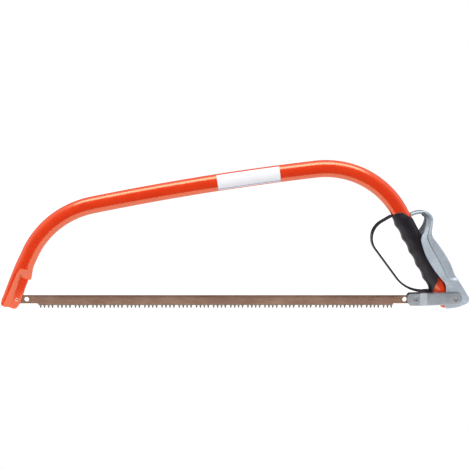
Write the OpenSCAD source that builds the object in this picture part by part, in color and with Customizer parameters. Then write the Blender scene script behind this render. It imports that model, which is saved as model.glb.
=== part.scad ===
// Bow saw with an oval tube frame, a pegged blade and a pressed tension lever.
// The saw stands in the XZ plane with the blade along X and the handle at +X.
// Z = 0 is the level of the tooth tips, and X = 0 is the middle of the overall length.
// Sizes are in millimetres and angles in degrees.

/* [Blade] */
// Distance between the two blade pins
blade_span = 607; // [533:1:762]
// Thickness of the blade steel
blade_t = 0.9; // [0.7:0.1:1.2]
// Height of the plain ends of the blade
tang_h = 13; // [11:0.5:16]
// Height of the blade's back edge above the tooth tips
blade_h = 20.4; // [18:0.2:25]
// Depth of the teeth
tooth_depth = 4.3; // [3.5:0.1:5.5]
// Distance from tooth to tooth within a group
tooth_pitch = 5.95; // [5:0.05:6.5]
// Number of teeth in a group
group_teeth = 4; // [2:1:5]
// Width of the gullet that is left out between two groups
group_gap = 2.4; // [0:0.1:6]
// Sideways set of each tooth tip
tooth_set = 0.4; // [0.1:0.05:0.6]
// Radius of the holes at the blade's ends
blade_hole_r = 3.5; // [3:0.1:4]
// Plain length from the front blade pin to the first tooth
front_plain = 34.4; // [26:0.2:60]
// Plain length from the last tooth to the rear blade pin
rear_plain = 37; // [30:0.2:60]
// Distance from the front end hole to the spare hole behind it
front_spare = 14.1; // [10:0.1:20]
// Distance from the rear end hole to the spare hole before it
rear_spare = 17.4; // [10:0.1:20]
// Length of blade beyond the centre of its end holes
blade_end = 7.5; // [6:0.1:10]

/* [Frame] */
// Depth of the oval frame tube, in the plane of the saw
tube_depth = 25.5; // [22:0.5:30]
// Width of the oval frame tube, across the saw
tube_width = 17; // [15:0.5:18]
// Wall of the frame tube
tube_wall = 1.4; // [1:0.1:2]
// Radius of the front bend, at the middle of the tube
front_bend_r = 136; // [115:1:150]
// Radius of the rear bend, at the middle of the tube
rear_bend_r = 131; // [110:1:150]
// Lean of the front leg from the horizontal
front_lean = 64.3; // [58:0.1:70]
// Length of the straight front leg, from beside the front pin up to the bend
front_leg = 72.1; // [70:0.1:110]
// Angle that the crown is bowed through from end to end
crown_bow = 4.8; // [2:0.1:8]
// Lean of the rear leg from the horizontal
rear_lean = 60; // [55:0.5:66]
// Length of the rear leg from the fulcrum up to the bend
rear_leg = 155.8; // [145:0.2:190]
// Length of the pressed front end above the front pin
pressed_len = 67; // [60:1:69]
// Half thickness of the pressed tongue that holds the front pin
tongue_half = 2.7; // [2.3:0.1:3.5]
// Amount by which the tube is necked down under the grip
neck = 1.4; // [0.5:0.1:2]

/* [Pins] */
// Radius of the two blade pins
blade_pin_r = 2.3; // [1.8:0.1:2.4]
// Radius of the fulcrum pin
fulcrum_r = 3; // [2.5:0.1:3.5]
// Radius of the two link rivets
rivet_r = 2.5; // [2:0.1:3]
// Radial running clearance of the pivots
pivot_gap = 0.08; // [0.03:0.01:0.1]

/* [Tension lever] */
// Distance from the rear blade pin back to the fulcrum
fulcrum_x = 47; // [46:0.1:48]
// Distance from the rear blade pin back to the link rivet
rivet_x = 58.8; // [58:0.1:60]
// Height of the link rivet over the blade pins
rivet_rise = 2; // [1.5:0.1:2.5]
// Sheet thickness of the lever
lever_t = 1.5; // [1.2:0.1:1.8]
// Half width of the lever's pivot cheeks, to their outer face
cheek_half = 10.5; // [10:0.1:12]
// Half width of the flanges where they straddle the grip
flare_half = 16; // [15.4:0.1:18]
// Half width of the hook at the top
hook_half = 6.8; // [5:0.1:9]

/* [Link plates] */
// Thickness of each link plate
link_t = 2; // [1.5:0.1:2.5]
// Height of the link plates
link_h = 20; // [18:0.2:20.6]
// Half of the space between the plates at the blade
link_gap_half = 2; // [1.2:0.1:3]
// Distance from the rear blade pin back to where the plates start to spread
joggle_x = 7; // [5.5:0.1:9]
// Length over which the plates spread
joggle_len = 8.5; // [8:0.5:10]

/* [Handle] */
// Half width of the grip
grip_half = 12.8; // [12:0.1:13.4]
// Depth of the grip's front face before the tube's middle line
grip_front = 13.6; // [13:0.1:15]
// Depth of the grip's back behind the tube's middle line
grip_back = 12.9; // [12.5:0.1:13.5]
// Height of the finger ridges
ridge = 1.7; // [0.5:0.1:2.5]
// Distance from one finger ridge to the next
ridge_pitch = 23.6; // [20:0.1:26]
// Width of the knuckle guard, across the saw
guard_w = 11; // [8:0.5:16]
// Thickness of the knuckle guard
guard_t = 3.2; // [2.5:0.1:4]
// Reach of the knuckle guard ahead of the rear blade pin
guard_reach = 76; // [70:1:90]

/* [Label] */
// Length of the blank label along the crown
label_len = 98; // [60:1:130]
// Distance from the front blade pin to the label's front edge
label_x = 300.3; // [240:0.1:340]
// Angle that the label wraps up from the tube's flank
label_up = 78; // [50:1:85]
// Angle that the label wraps down from the tube's flank
label_down = 58; // [40:1:85]

/* [Hidden] */
$fn = 48;

// Small overlap that lets cuts run clear of the faces they open
eps = 0.01;
// Length by which a cutter runs past the part it cuts
past = 5;
// Space between flat faces that slide on each other
slide_gap = 0.4;
// Space between a sleeve or strap and what it sits on
seat_gap = 0.05;

// Reaches of the frame's front corner and of the lever's heel beyond the blade pins
front_reach = 22.9;
heel_reach = 80.3;
pin_z = blade_h - tang_h / 2 + 0.1;
mid_x = (front_reach - heel_reach) / 2;
front_pin = [mid_x - blade_span / 2, pin_z];
rear_pin = [mid_x + blade_span / 2, pin_z];
fulcrum = rear_pin + [fulcrum_x, -0.5];
rivet = rear_pin + [rivet_x, rivet_rise];
// The rear end hole of the blade sits a little off its pin, which leaves play as the lever opens
rear_hole = rear_pin + [0.75, 0];

function u(a) = [cos(a), sin(a)];
function left(a) = [-sin(a), cos(a)];
function lerp(a, b, t) = a + (b - a) * t;
function clamp01(t) = min(1, max(0, t));
function smooth(t) = let (c = clamp01(t)) c * c * (3 - 2 * c);
// Step of a path that turns clockwise by turn degrees on radius r from heading a
function bend_step(a, turn, r) = r * [sin(a) - sin(a - turn), cos(a - turn) - cos(a)];

// Frame path: front leg, front bend, crown, rear bend and rear leg
rear_top = fulcrum + rear_leg * u(180 - rear_lean);
// The front leg's middle line passes this far in front of the front pin
leg_offset = 10.6;
leg_foot = front_pin + leg_offset * left(front_lean);
leg_top = leg_foot + front_leg * u(front_lean);
// Chord of the crown where its mean slope is m, and the slope at which chord and crown agree
function crown_chord(m) = rear_top - leg_top - bend_step(front_lean, front_lean - m - crown_bow / 2, front_bend_r)
    - bend_step(m - crown_bow / 2, m - crown_bow / 2 + rear_lean, rear_bend_r);
function settle(m, k) = let (c = crown_chord(m)) k == 0 ? m : settle(atan2(c.y, c.x), k - 1);
crown_mid = settle(0, 12);
crown_front_slope = crown_mid + crown_bow / 2;
crown_rear_slope = crown_mid - crown_bow / 2;
front_turn = front_lean - crown_front_slope;
rear_turn = crown_rear_slope + rear_lean;
crown_r = norm(crown_chord(crown_mid)) / (2 * sin(crown_bow / 2));
crown_len = crown_r * crown_bow * PI / 180;
crown_start = leg_top + bend_step(front_lean, front_turn, front_bend_r);
crown_end = crown_start + crown_chord(crown_mid);

// Oval section of the tube: points [across the path, across the saw]
tube_sides = 40;
function oval(d, w) = [for (i = [0:tube_sides - 1]) [d * cos(i * 360 / tube_sides), w * sin(i * 360 / tube_sides)]];

module oval_ring(inset, wall) {
    difference() {
        polygon(oval(tube_depth / 2 - inset, tube_width / 2 - inset));
        polygon(oval(tube_depth / 2 - inset - wall, tube_width / 2 - inset - wall));
    }
}

// A straight run of the child profile from point p along heading a
module run(p, a, len) {
    translate([p.x, 0, p.y]) rotate([0, 90 - a, 0]) mirror([1, 0, 0]) linear_extrude(len) children();
}

// A clockwise bend of the child profile that starts at p on heading a
module bend(p, a, turn, r) {
    translate([p.x, 0, p.y]) rotate([0, 90 - a, 0]) translate([r, 0, 0]) rotate([90, 0, 0]) rotate([0, 0, 180 - turn])
        rotate_extrude(angle = turn, $fn = 240) translate([r, 0]) children();
}

// A barely raised band that joins two pieces of tube at point p on heading a
band_len = 1;
band_rise = 0.02;
module joint_band(p, a) {
    run(p - band_len / 2 * u(a), a, band_len) oval_ring(-band_rise, tube_wall + 2 * band_rise);
}

// Section of the pressed front end, s along the leg from its foot; t is the wall taken off
press_top = pressed_len;
press_low = pressed_len - 32;
foot_cut = -17.4;
lobe_r = 6.9;
lobe_half = 7.3;
pressed_inner = 17.1;
edge_round = 3;
// Reach of the outer edge at the foot, and where it has grown a little past the tube
foot_outer = 9.6;
swell = 0.35;
swell_at = 48;
// Half width of the slot that opens the inner edge for the blade
slot_half = blade_t / 2 + 0.55;
function press_f(s) = 1 - smooth((s - press_low) / 15);
function edge_out(s) = lerp(foot_outer, tube_depth / 2 + swell, pow(clamp01((s + 10) / (swell_at + 10)), 0.6))
    - swell * smooth((s - swell_at) / (press_top - swell_at));
function edge_in(s) = lerp(pressed_inner, tube_depth / 2, smooth((s - press_low) / (press_top - press_low - 8)));
function dome(q) = sqrt(max(0, 1 - q * q));
function pressed_half(n, out, inn, t) =
    let (lobe = (lobe_half - t) * dome((n - out) / (lobe_r - t) + 1))
    let (tongue = (tongue_half - t) * dome(max(0, max(-n - inn, n - out) + edge_round) / edge_round))
    pow(pow(lobe, 3) + pow(tongue, 3), 1 / 3);
function press_point(s, a, t) =
    let (out = edge_out(s) - t, inn = edge_in(s) - t, n = (out - inn) / 2 + (out + inn) / 2 * cos(a))
    let (y = lerp((tube_width / 2 - t) * abs(sin(a)), pressed_half(n, out, inn, t), press_f(s)))
    let (p = leg_point(s, n)) [p.x, (sin(a) < 0 ? -1 : 1) * y, p.y];

module press_shell(t, low, high) {
    levels = concat([low, 4], [for (k = [0:9]) lerp(press_low - 6, press_top, k / 9)]);
    rings = len(levels);
    m = tube_sides;
    n = rings * m;
    function ring(s, wall) = [for (i = [0:m - 1]) press_point(s, 360 * i / m, wall)];
    function quad(a, b, c, d) = [[a, b, c], [a, c, d]];
    walls = [for (k = [0:rings - 2]) for (i = [0:m - 1]) let (a = k * m + i, b = k * m + (i + 1) % m)
        each concat(quad(a, b, b + m, a + m), quad(n + b, n + a, n + a + m, n + b + m))];
    ends = [for (i = [0:m - 1]) let (j = (i + 1) % m, e = n - m)
        each concat(quad(j, i, n + i, n + j), quad(e + i, e + j, n + e + j, n + e + i))];
    polyhedron(concat([for (s = levels) each ring(s, 0)], [for (s = levels) each ring(s, t)]), concat(walls, ends));
}

// Point given by its distance s along the front leg and n ahead of its middle line
function leg_point(s, n) = leg_foot + s * u(front_lean) + n * left(front_lean);
// Point given by its distance s up the rear leg from the fulcrum and n before its middle line
function rear_point(s, n) = fulcrum + s * u(180 - rear_lean) + n * left(180 - rear_lean);

module flat(points, half) {
    rotate([90, 0, 0]) translate([0, 0, -half]) linear_extrude(2 * half) polygon(points);
}

module cross_pin(p, r, half) {
    translate([p.x, half, p.y]) rotate([90, 0, 0]) cylinder(r = r, h = 2 * half);
}

neck_top = 139;
frame_foot_z = 1.8;

module frame_tube() {
    color("orangered")
    difference() {
        union() {
            difference() {
                press_shell(tube_wall, foot_cut, press_top);
                // The inner edge is cut back so that the blade reaches its pin
                flat([leg_point(36.5, -13.6), leg_point(36.5, -25), leg_point(-4, -25), leg_point(-4, -17.6),
                    leg_point(10.1, -15.5), leg_point(20.6, -14.4)], tube_width);
                // Slot for the blade
                flat([leg_point(17, -13), leg_point(17, -25), leg_point(foot_cut - past, -25),
                    leg_point(foot_cut - past, -13)], slot_half);
                // Corners of the foot
                flat([leg_point(-7, -18), leg_point(-7, -16.3), leg_point(-12.6, -15.6), leg_point(-15.2, -12.3),
                    leg_point(-16.7, 1.5), leg_point(-16.4, 6.1), leg_point(-21, 6.1), leg_point(-21, -18)], tube_width);
                flat([leg_point(-17.6, 6), leg_point(-16.4, 6), leg_point(-14.4, 8), leg_point(-9.6, 9.65),
                    leg_point(-9.6, 13), leg_point(-17.6, 13)], tube_width);
            }
            run(leg_point(press_top, 0), front_lean, front_leg - press_top) oval_ring(0, tube_wall);
            bend(leg_top, front_lean, front_turn, front_bend_r) oval_ring(0, tube_wall);
            bend(crown_start, crown_front_slope, crown_bow, crown_r) oval_ring(0, tube_wall);
            bend(crown_end, crown_rear_slope, rear_turn, rear_bend_r) oval_ring(0, tube_wall);
            run(rear_top, -rear_lean, rear_leg - neck_top) oval_ring(0, tube_wall + neck);
            run(rear_point(neck_top, 0), -rear_lean, neck_top + 30) oval_ring(neck, tube_wall);
            joint_band(leg_point(press_top, 0), front_lean);
            joint_band(leg_top, front_lean);
            joint_band(crown_start, crown_front_slope);
            joint_band(crown_end, crown_rear_slope);
            joint_band(rear_top, -rear_lean);
        }
        translate([fulcrum.x - 60, -20, frame_foot_z - 60]) cube([120, 40, 60]);
        cross_pin(fulcrum, fulcrum_r, 20);
        cross_pin(front_pin, blade_pin_r, 20);
    }
}

module front_blade_pin() {
    half = tongue_half + 1.3;
    color("silver")
    difference() {
        cross_pin(front_pin, blade_pin_r, half);
        cross_pin(front_pin, blade_pin_r - 0.8, half + 1);
        // Slit of the rolled spring pin
        translate([front_pin.x, -half - 1, front_pin.y - 0.4]) cube([past, 2 * half + 2, 0.8]);
    }
}

// Toothing: groups of pegs, from the first tooth until the rear plain length
first_tooth = front_pin.x + front_plain;
last_tooth = rear_pin.x - rear_plain;
group_pitch = group_teeth * tooth_pitch + group_gap;
groups = floor((last_tooth - first_tooth) / group_pitch) + 1;
root_z = tooth_depth;
tang_z = pin_z - tang_h / 2;
// Half widths of a tooth at its root, at its shoulder and at its tip
foot_half = 1.5;
shoulder_half = 1.3;
tip_half = 0.35;
shoulder_z = 1.9;
gullet_rise = 0.4;
// Depth that a tooth is rooted in the blade, and thickness ground off each of its sides
tooth_sink = 0.3;
tooth_relief = 0.04;
teeth = [for (g = [0:groups - 1]) for (i = [0:group_teeth - 1])
    let (x = first_tooth + g * group_pitch + i * tooth_pitch) if (x <= last_tooth + 0.5) x];

// A peg tooth whose tip is set to one side; it runs past z = 0, where all tips are ground level
module peg_tooth(x, side) {
    flank = (tooth_depth - shoulder_z);
    tip = shoulder_half - (shoulder_half - tip_half) * (shoulder_z + tooth_sink) / shoulder_z;
    translate([x, 0, root_z]) rotate([side * asin(tooth_set / tooth_depth), 0, 0])
        flat([[-foot_half, tooth_sink], [foot_half, tooth_sink], [foot_half, 0], [shoulder_half, -flank],
            [tip, -tooth_depth - tooth_sink], [-tip, -tooth_depth - tooth_sink], [-shoulder_half, -flank],
            [-foot_half, 0]], blade_t / 2 - tooth_relief);
}

module saw_blade() {
    x0 = front_pin.x - blade_end;
    x1 = rear_hole.x + blade_end;
    chamfer = 2.5;
    back = tang_z + tang_h;
    gullet_top = root_z + gullet_rise;
    outline = concat(
        [[x0, tang_z + chamfer], [x0, back - chamfer], [x0 + chamfer, back], [x1 - chamfer, back],
            [x1, back - chamfer], [x1, tang_z + chamfer], [x1 - chamfer, tang_z],
            [last_tooth + 3.2, tang_z], [last_tooth + foot_half + 0.3, root_z]],
        [for (k = [len(teeth) - 1:-1:0]) let (x = teeth[k])
            each concat([[x + foot_half, root_z], [x - foot_half, root_z]],
                k > 0 ? [[x - foot_half - 0.5, gullet_top], [teeth[k - 1] + foot_half + 0.5, gullet_top]] : [])],
        [[first_tooth - foot_half - 0.3, root_z], [first_tooth - 5, tang_z], [x0 + chamfer, tang_z]]);
    color("rosybrown")
    difference() {
        union() {
            flat(outline, blade_t / 2);
            for (k = [0:len(teeth) - 1]) peg_tooth(teeth[k], k % 2 == 0 ? 1 : -1);
        }
        translate([x0, -past, -2 * past]) cube([x1 - x0, 2 * past, 2 * past]);
        for (p = [front_pin, front_pin + [front_spare, 0], rear_hole, rear_hole - [rear_spare, 0]])
            cross_pin(p, blade_hole_r, past);
    }
}

// Link plates, drawn from the rear blade pin along the line to the link rivet
link_len = norm(rivet - rear_pin);
link_tilt = atan2(rivet_rise, rivet_x);
link_front = 12.8;
link_rise = 0.3;
// Amount by which the spread part of a plate stands higher than its front
link_lift = 2.4;
link_tail = 0.8;
link_half_out = cheek_half + slide_gap;

module link_frame(p) {
    translate([rear_pin.x, 0, rear_pin.y]) rotate([0, -link_tilt, 0]) children();
}

module link_bar() {
    low = link_rise - link_h / 2;
    high = link_rise + link_h / 2;
    rotate([90, 0, 0]) {
        translate([0, 0, -20]) linear_extrude(40) polygon([[-link_front, low + 6.2], [-link_front, high - 3],
            [-link_front + 2.8, high], [joggle_x, high], [joggle_x + joggle_len, high + link_lift],
            [link_len - link_tail, high + link_lift], [link_len - link_tail, low + link_lift],
            [joggle_x + joggle_len, low + link_lift], [joggle_x, low], [-link_front + 4.6, low]]);
        translate([link_len - link_tail, link_rise + link_lift, -20]) cylinder(r = link_h / 2 + 0.03, h = 40);
    }
}

// Plan of one plate: close to the blade at the front, then spread over the lever's cheeks
module link_plan() {
    inner = [[-link_front - 1, link_gap_half], [joggle_x, link_gap_half],
        [joggle_x + joggle_len, link_half_out], [link_len + link_h, link_half_out]];
    outer = [[link_len + link_h, link_half_out + link_t], [joggle_x + joggle_len - 0.7, link_half_out + link_t],
        [joggle_x - 0.7, link_gap_half + link_t], [-link_front - 1, link_gap_half + link_t]];
    polygon(concat(inner, outer));
}

module link_plate() {
    color("silver")
    link_frame() difference() {
        intersection() {
            link_bar();
            translate([0, 0, -30]) linear_extrude(60) link_plan();
        }
        cross_pin([0, 0], blade_pin_r, 20);
        cross_pin([link_len, 0], rivet_r, 20);
    }
}

module link_plate_near() {
    mirror([0, 1, 0]) link_plate();
}

module link_plate_far() {
    link_plate();
}

// A rivet with a low dished head on each side of a stack of half thickness half
module rivet_shape(r, half, head_r, head_h) {
    color("gainsboro")
    rotate([90, 0, 0]) rotate_extrude() polygon([[0, -half - head_h + 0.5], [r * 0.5, -half - head_h + 0.2],
        [r * 0.7, -half - head_h], [head_r - 0.5, -half - head_h * 0.5], [head_r, -half], [r, -half], [r, half],
        [head_r, half], [head_r - 0.5, half + head_h * 0.5], [r * 0.7, half + head_h],
        [r * 0.5, half + head_h - 0.2], [0, half + head_h - 0.5]]);
}

module rear_blade_pin() {
    translate([rear_pin.x, 0, rear_pin.y]) rivet_shape(blade_pin_r, link_gap_half + link_t, 3.4, 0.8);
}

// Short rivet from inside the lever's cheek to outside the link plate, so that the tube passes between
module link_rivet(side) {
    inner = cheek_half - lever_t - slide_gap / 2;
    outer = link_half_out + link_t;
    color("gainsboro")
    translate([rivet.x, 0, rivet.y]) rotate([-90 * side, 0, 0]) rotate_extrude() polygon([[0, inner - 0.9],
        [3, inner - 0.9], [3.5, inner - 0.5], [3.5, inner], [rivet_r, inner], [rivet_r, outer], [3.6, outer],
        [3.1, outer + 0.45], [rivet_r * 0.7, outer + 0.9], [rivet_r * 0.5, outer + 0.7], [0, outer + 0.4]]);
}

module link_rivet_near() {
    link_rivet(-1);
}

module link_rivet_far() {
    link_rivet(1);
}

module fulcrum_pin() {
    color("gainsboro") cross_pin(fulcrum, fulcrum_r, cheek_half + slide_gap / 2);
}

// Stations of the lever from the tip of its hook to its heel, measured from the rear blade pin.
// Each holds the back line, the flange's front edge, the half widths at the web, crease and
// front edge, and the share of the flange that lies before the crease.
lever_stations = [
    [[-15.2, 134.3], [-14.8, 129.8], 6.0, 6.0, 6.0, 0.5],
    [[-9.4, 136.6], [-8.8, 132.4], 6.4, 6.4, 6.4, 0.5],
    [[-3.2, 138.2], [-2.6, 133.6], 6.8, 6.8, 6.8, 0.5],
    [[4.8, 138.2], [2.2, 133.4], 6.8, 6.8, 6.8, 0.5],
    [[13.2, 134.8], [5, 129.8], 6.8, 6.8, 6.8, 0.5],
    [[18.8, 127.6], [5.2, 125.8], 6.8, 7, 7, 0.5],
    [[20.3, 117.4], [4, 117.6], 7.4, 8, 9, 0.55],
    [[19.4, 108], [0.6, 106.5], 8.4, 9, 14.2, 0.55],
    [[20.9, 98.4], [0.1, 95.5], 9, 9.6, 16, 0.52],
    [[31.8, 84.7], [6, 76.8], 9.4, 10, 16, 0.5],
    [[43.2, 69], [14.2, 61.4], 9.8, 10.4, 16, 0.5],
    [[52.4, 52.9], [24.6, 46.8], 10.2, 10.6, 15.6, 0.46],
    [[58.4, 39.4], [33.9, 36], 10.4, 10.5, 12.6, 0.42],
    [[67.1, 26.4], [42.3, 26], 10.5, 10.5, 10.5, 0.4],
    [[74.9, 14.5], [43.8, 13], 10.5, 10.5, 10.5, 0.4],
    [[81.6, 3.4], [42, 0], 10.5, 10.5, 10.5, 0.4],
    [[80.6, -2.4], [45, -12.4], 10.5, 10.5, 10.5, 0.7]
];
lever_bend = 3.2;
lever_steps = 3;
// Depth by which the flange's bottom edge bows down
heel_belly = 2.6;
stations = len(lever_stations);

function spline(a, b, c, d, t) =
    0.5 * ((2 * b) + (c - a) * t + (2 * a - 5 * b + 4 * c - d) * t * t + (3 * b - a - 3 * c + d) * t * t * t);
function station(f, field) =
    let (k = min(stations - 2, floor(f)), t = f - k)
    spline(lever_stations[max(0, k - 1)][field], lever_stations[k][field], lever_stations[k + 1][field],
        lever_stations[min(stations - 1, k + 2)][field], t);
// Widths given for the cheeks, the flare and the hook are scaled to their named values
function sized(w) =
    w <= 6.8 ? w * hook_half / 6.8
    : w <= 10.5 ? lerp(hook_half, cheek_half, (w - 6.8) / 3.7)
    : lerp(cheek_half, flare_half, (w - 10.5) / 5.5);
// One half of the section: [distance from the back line, half width], inset by t
function half_section(depth, web, crease, edge, share, t) =
    let (r = min(lever_bend, depth * 0.45), m = depth * (1 - share))
    concat([for (k = [0:3]) let (a = 90 * k / 3) [r - (r - t) * cos(a), web - r + (r - t) * sin(a)]],
        [[max(r + 0.3, m), crease - t], [depth, edge - t]]);
function lever_ring(f, t) =
    let (back = station(f, 0), front = station(f, 1), dir = (front - back) / norm(front - back))
    let (h = half_section(norm(front - back), sized(station(f, 2)), sized(station(f, 3)), sized(station(f, 4)),
        station(f, 5), t))
    let (belly = heel_belly * clamp01(f - stations + 2), drop = [-dir.y, dir.x])
    let (place = function (q, i) rear_pin + back + dir * q.x + drop * (i == 4 ? belly : 0))
    concat([for (i = [5:-1:0]) let (p = place(h[i], i)) [p.x, -h[i].y, p.y]],
        [for (i = [0:5]) let (p = place(h[i], i)) [p.x, h[i].y, p.y]]);

module lever_shell() {
    rings = (stations - 1) * lever_steps + 1;
    m = 12;
    outer = [for (k = [0:rings - 1]) each lever_ring(k / lever_steps, 0)];
    inner = [for (k = [0:rings - 1]) each lever_ring(k / lever_steps, lever_t)];
    n = rings * m;
    function quad(a, b, c, d) = [[a, b, c], [a, c, d]];
    faces = concat(
        [for (k = [0:rings - 2]) for (i = [0:m - 2]) let (a = k * m + i, b = a + m) each quad(a, b, b + 1, a + 1)],
        [for (k = [0:rings - 2]) for (i = [0:m - 2]) let (a = n + k * m + i, b = a + m) each quad(a, a + 1, b + 1, b)],
        [for (k = [0:rings - 2]) let (a = k * m, b = a + m) each quad(a, n + a, n + b, b)],
        [for (k = [0:rings - 2]) let (a = k * m + m - 1, b = a + m) each quad(a, b, n + b, n + a)],
        [for (i = [0:m - 2]) each quad(i, i + 1, n + i + 1, n + i)],
        [for (i = [0:m - 2]) let (a = n - m + i) each quad(a, n + a, n + a + 1, a + 1)]);
    polyhedron(concat(outer, inner), faces);
}

module tension_lever() {
    color("lightsteelblue")
    difference() {
        lever_shell();
        cross_pin(fulcrum, fulcrum_r + pivot_gap, 20);
        cross_pin(rivet, rivet_r + pivot_gap, 20);
    }
}

// Grip: a sleeve on the rear leg with finger ridges down its front
grip_low = 21.5;
grip_high = rear_leg + 3.4;
grip_sides = 28;
function grip_ridge(s) = ridge * pow(0.5 + 0.5 * cos(360 * (s - 142) / ridge_pitch), 1.5);
function grip_ring(s) =
    let (end = smooth((grip_high - s) / 14), foot = smooth((s - grip_low) / 14))
    let (w = lerp(tube_width / 2 + 0.9, grip_half, end) * lerp(0.86, 1, foot))
    let (front = grip_front + grip_ridge(s) * end, back = lerp(tube_depth / 2 + 0.6, grip_back, end))
    [for (i = [0:grip_sides - 1]) let (a = 360 * i / grip_sides, c = cos(a), e = sin(a))
        let (n = (c > 0 ? front : back) * (abs(c) < eps ? 0 : c / abs(c) * pow(abs(c), 0.9)))
        let (y = w * (e < 0 ? -1 : 1) * pow(abs(e), 0.9), p = rear_point(s, n)) [p.x, y, p.y]];

module grip_loft() {
    rings = 30;
    m = grip_sides;
    points = [for (k = [0:rings - 1]) each grip_ring(lerp(grip_low, grip_high, k / (rings - 1)))];
    walls = [for (k = [0:rings - 2]) for (i = [0:m - 1]) let (j = (i + 1) % m)
        each [[k * m + i, (k + 1) * m + j, k * m + j], [k * m + i, (k + 1) * m + i, (k + 1) * m + j]]];
    polyhedron(points, concat(walls, [[for (i = [0:m - 1]) i], [for (i = [m - 1:-1:0]) (rings - 1) * m + i]]));
}

module grip() {
    color([0.15, 0.14, 0.16])
    difference() {
        grip_loft();
        run(rear_point(neck_top + seat_gap, 0), -rear_lean, neck_top) polygon(oval(tube_depth / 2 - neck + seat_gap,
            tube_width / 2 - neck + seat_gap));
        run(rear_point(grip_high + past, 0), -rear_lean, grip_high + past - neck_top) polygon(
            oval(tube_depth / 2 + seat_gap, tube_width / 2 + seat_gap));
        // Slanted cuts at the back of the top edge and at the foot
        flat([rear_point(grip_high, 5), rear_point(rear_leg + 0.5, -2), rear_point(neck_top + 1, -12),
            rear_point(neck_top - 5, -16), rear_point(neck_top, -25), rear_point(grip_high + 10, -25),
            rear_point(grip_high + 10, 5)], 30);
        flat([rear_point(28, 18), rear_point(25.4, 14), rear_point(49, -14), rear_point(49, -30),
            rear_point(10, -30), rear_point(10, 30), rear_point(28, 30)], 30);
    }
}

// Knuckle guard: a strap bent round two corners, from the top of the grip to the leg just below its foot
guard_top = rear_point(grip_high - 0.7, grip_front + 0.25);
guard_foot = rear_point(21.2, tube_depth / 2 - neck + 1.05);
guard_nose = [rear_pin.x - guard_reach - 10, rear_pin.y + 104.7];
guard_toe = [rear_pin.x - 17.6, rear_pin.y + 16.3];
guard_nose_r = 28.4;
guard_toe_r = 53.6;

function heading(p, q) = atan2(q.y - p.y, q.x - p.x);
function turn_of(a, b, c) = let (d = heading(b, c) - heading(a, b)) d > 180 ? d - 360 : d < -180 ? d + 360 : d;
// Points of a corner a-b-c rounded to radius r, left-handed turns only, offset by o to the left
function corner(a, b, c, r, o) =
    let (turn = turn_of(a, b, c), h = heading(a, b), start = b - r * tan(turn / 2) * u(h), mid = start + r * left(h))
    [for (k = [0:14]) mid + (r - o) * u(h - 90 + turn * k / 14)];
function guard_line(o) = concat([guard_top + o * left(heading(guard_top, guard_nose))],
    corner(guard_top, guard_nose, guard_toe, guard_nose_r, o),
    corner(guard_nose, guard_toe, guard_foot, guard_toe_r, o),
    [guard_foot + o * left(heading(guard_toe, guard_foot))]);

module knuckle_guard() {
    inner = guard_line(guard_t / 2);
    outer = guard_line(-guard_t / 2);
    color([0.13, 0.12, 0.14])
    flat(concat(outer, [for (i = [len(inner) - 1:-1:0]) inner[i]]), guard_w / 2);
}

// Blank label wrapped on the near flank of the crown
module frame_label() {
    at = label_x + front_pin.x - crown_start.x;
    before = crown_bow * at / crown_len;
    turn = crown_bow * label_len / crown_len;
    heading_at = crown_front_slope - before;
    start = crown_start + bend_step(crown_front_slope, before, crown_r);
    function wrap(grow, a) = [(tube_depth / 2 + grow) * sin(a), (tube_width / 2 + grow) * cos(a)];
    angles = [for (k = [0:20]) lerp(-label_down, label_up, k / 20)];
    color("white")
    bend(start, heading_at, turn, crown_r)
        polygon(concat([for (a = angles) wrap(0.1, a)], [for (k = [20:-1:0]) wrap(0.25, angles[k])]));
}

frame_tube();
front_blade_pin();
saw_blade();
rear_blade_pin();
link_plate_near();
link_plate_far();
link_rivet_near();
link_rivet_far();
tension_lever();
fulcrum_pin();
grip();
knuckle_guard();
frame_label();
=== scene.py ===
import math

import bmesh
import bpy
import numpy as np
from mathutils import Matrix, Vector


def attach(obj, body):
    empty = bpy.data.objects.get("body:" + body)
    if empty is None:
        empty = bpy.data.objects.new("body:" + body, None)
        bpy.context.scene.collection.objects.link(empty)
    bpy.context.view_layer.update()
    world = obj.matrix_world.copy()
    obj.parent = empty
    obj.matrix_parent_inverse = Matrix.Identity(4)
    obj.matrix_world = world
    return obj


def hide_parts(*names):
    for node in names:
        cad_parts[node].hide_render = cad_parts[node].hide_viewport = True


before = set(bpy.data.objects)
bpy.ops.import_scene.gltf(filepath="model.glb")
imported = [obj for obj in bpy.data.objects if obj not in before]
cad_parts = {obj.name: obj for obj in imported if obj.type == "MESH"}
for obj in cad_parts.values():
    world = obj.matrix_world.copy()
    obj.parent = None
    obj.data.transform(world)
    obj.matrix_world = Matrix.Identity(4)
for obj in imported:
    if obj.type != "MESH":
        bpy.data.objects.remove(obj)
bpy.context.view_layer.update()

# Camera: it stands 1 m before the saw and looks slightly down on it, as the photograph does.
# It is turned 0.56 degrees about its own axis so that the blade lies level in the picture.
eye = Vector((-0.0404, -0.9848, 0.2838))
aim = Vector((-0.0043, 0.0, 0.11357))
roll = 0.00974
back = (eye - aim).normalized()
level = Vector((0, 0, 1)).cross(back).normalized()
rise = back.cross(level)
right = level * math.cos(roll) + rise * math.sin(roll)
up = rise * math.cos(roll) - level * math.sin(roll)
camera = bpy.data.objects.new("camera", bpy.data.cameras.new("camera"))
bpy.context.scene.collection.objects.link(camera)
camera.matrix_world = Matrix((
    (right.x, up.x, back.x, eye.x), (right.y, up.y, back.y, eye.y), (right.z, up.z, back.z, eye.z), (0, 0, 0, 1)))
camera.data.sensor_width = 36
camera.data.lens = 50.99
camera.data.clip_start = 0.01
bpy.context.scene.camera = camera


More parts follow.
